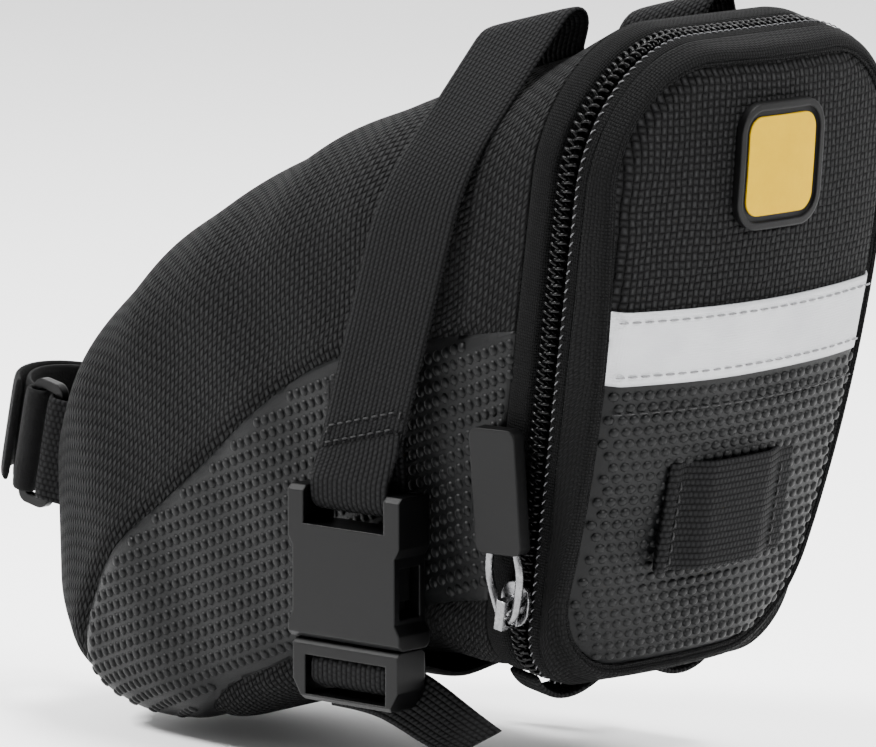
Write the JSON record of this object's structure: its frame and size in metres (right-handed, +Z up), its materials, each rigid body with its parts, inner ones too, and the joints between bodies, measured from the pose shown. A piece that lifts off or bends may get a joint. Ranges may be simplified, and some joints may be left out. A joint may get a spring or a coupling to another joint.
{
  "type": "saddle bag",
  "caption": "Wedge-shaped strap-mount saddle bag with a zipped rear lid, buckled rail straps and a seat-post strap.",
  "frame": {"origin": "midway between the two saddle rails, where the straps hook over them", "axes": "+X to the rear of the bicycle, +Z up, -Y the left side; the bag hangs as mounted"},
  "size_m": [0.2062, 0.1002, 0.154],
  "materials": {
    "woven_nylon": "coarse basket weave, matt",
    "dotted_vinyl": "embossed dots, satin",
    "fine_twill": "fine weave, matt",
    "webbing": "ribbed webbing, matt",
    "coil_nylon": "satin coil",
    "buckle_plastic": "fine satin moulding",
    "dark_nickel": "bright plated",
    "black_rubber": "matt moulding",
    "yellow_rubber": "matt moulding",
    "reflective_film": "glass-bead film",
    "lining_cloth": "smooth coated cloth",
    "foam_board": "closed-cell foam",
    "mesh_cloth": "open mesh",
    "loop_pile": "brushed hook-and-loop pile"
  },
  "bodies": {
    "root": {"body_zipper_coil": "coil_nylon", "body_zipper_tape": "fine_twill", "bottom_panel": "woven_nylon", "inner_lining": "lining_cloth", "left_buckle_socket": "buckle_plastic", "left_lower_strap": "webbing", "left_side_panel": "dotted_vinyl", "left_strap": "webbing", "left_zipper_end_tab": "webbing", "lid_hinge_strip": "fine_twill", "post_ring": "buckle_plastic", "post_ring_tab": "webbing", "post_strap": "loop_pile", "right_buckle_socket": "buckle_plastic", "right_lower_strap": "webbing", "right_side_panel": "dotted_vinyl", "right_strap": "webbing", "right_zipper_end_tab": "webbing", "upper_shell": "woven_nylon"},
    "lid": {"lid_band": "fine_twill", "lid_lower_panel": "dotted_vinyl", "lid_mesh_pocket": "mesh_cloth", "lid_piping": "fine_twill", "lid_stiffener": "foam_board", "lid_upper_panel": "woven_nylon", "lid_zipper_coil": "coil_nylon", "lid_zipper_tape": "fine_twill", "reflective_strip": "reflective_film", "light_loop": "webbing", "badge": "black_rubber", "badge_inset": "yellow_rubber"},
    "slider": {"slider_body": "dark_nickel"},
    "pull": {"pull_link": "dark_nickel", "pull_cover": "black_rubber"},
    "left_plug": {"left_buckle_plug": "buckle_plastic", "left_strap_tail": "webbing"},
    "right_plug": {"right_buckle_plug": "buckle_plastic", "right_strap_tail": "webbing"},
    "left_front_latch": {"left_front_prong": "buckle_plastic"},
    "left_rear_latch": {"left_rear_prong": "buckle_plastic"},
    "right_front_latch": {"right_front_prong": "buckle_plastic"},
    "right_rear_latch": {"right_rear_prong": "buckle_plastic"},
    "post_flap": {"post_strap_flap": "loop_pile"}
  },
  "joints": [
    {"name": "lid_hinge", "type": "hinge", "parent": "root", "child": "lid", "pos_m": [0.00388, 0, -0.12379], "axis": [0, 1, 0], "range_deg": [0, 75], "deforming": ["lid_hinge_strip"]},
    {"name": "zipper_slide", "type": "slide", "parent": "root", "child": "slider", "axis": [0.1863, -0.0657, 0.9803], "range_m": [0, 0.07]},
    {"name": "pull_swing", "type": "hinge", "parent": "slider", "child": "pull", "pos_m": [0.00664, -0.04163, -0.10926], "axis": [0.9997, -0.0137, 0.0212], "range_deg": [0, 165]},
    {"name": "post_flap_peel", "type": "hinge", "parent": "root", "child": "post_flap", "pos_m": [-0.15466, -0.01264, -0.09319], "axis": [0.2079, 0, 0.9781], "range_deg": [0, 100]},
    {"name": "left_buckle_release", "type": "slide", "parent": "root", "child": "left_plug", "axis": [0, 0, -1], "range_m": [0, 0.025], "deforming": ["left_lower_strap"]},
    {"name": "left_front_prong_squeeze", "type": "hinge", "parent": "left_plug", "child": "left_front_latch", "pos_m": [-0.0374, -0.0446, -0.11795], "axis": [0, 1, 0], "range_deg": [0, 8], "stiffness_Nm_per_rad": 0.05},
    {"name": "left_rear_prong_squeeze", "type": "hinge", "parent": "left_plug", "child": "left_rear_latch", "pos_m": [-0.0206, -0.0446, -0.11795], "axis": [0, -1, 0], "range_deg": [0, 8], "stiffness_Nm_per_rad": 0.05},
    {"name": "right_buckle_release", "type": "slide", "parent": "root", "child": "right_plug", "axis": [0, 0, -1], "range_m": [0, 0.025], "deforming": ["right_lower_strap"]},
    {"name": "right_front_prong_squeeze", "type": "hinge", "parent": "right_plug", "child": "right_front_latch", "pos_m": [-0.0374, 0.0446, -0.11795], "axis": [0, 1, 0], "range_deg": [0, 8], "stiffness_Nm_per_rad": 0.05},
    {"name": "right_rear_prong_squeeze", "type": "hinge", "parent": "right_plug", "child": "right_rear_latch", "pos_m": [-0.0206, 0.0446, -0.11795], "axis": [0, -1, 0], "range_deg": [0, 8], "stiffness_Nm_per_rad": 0.05}
  ],
  "couplings": [
    {"joint": "left_rear_prong_squeeze", "follows": "left_front_prong_squeeze", "ratio": 1},
    {"joint": "right_rear_prong_squeeze", "follows": "right_front_prong_squeeze", "ratio": 1}
  ]
}
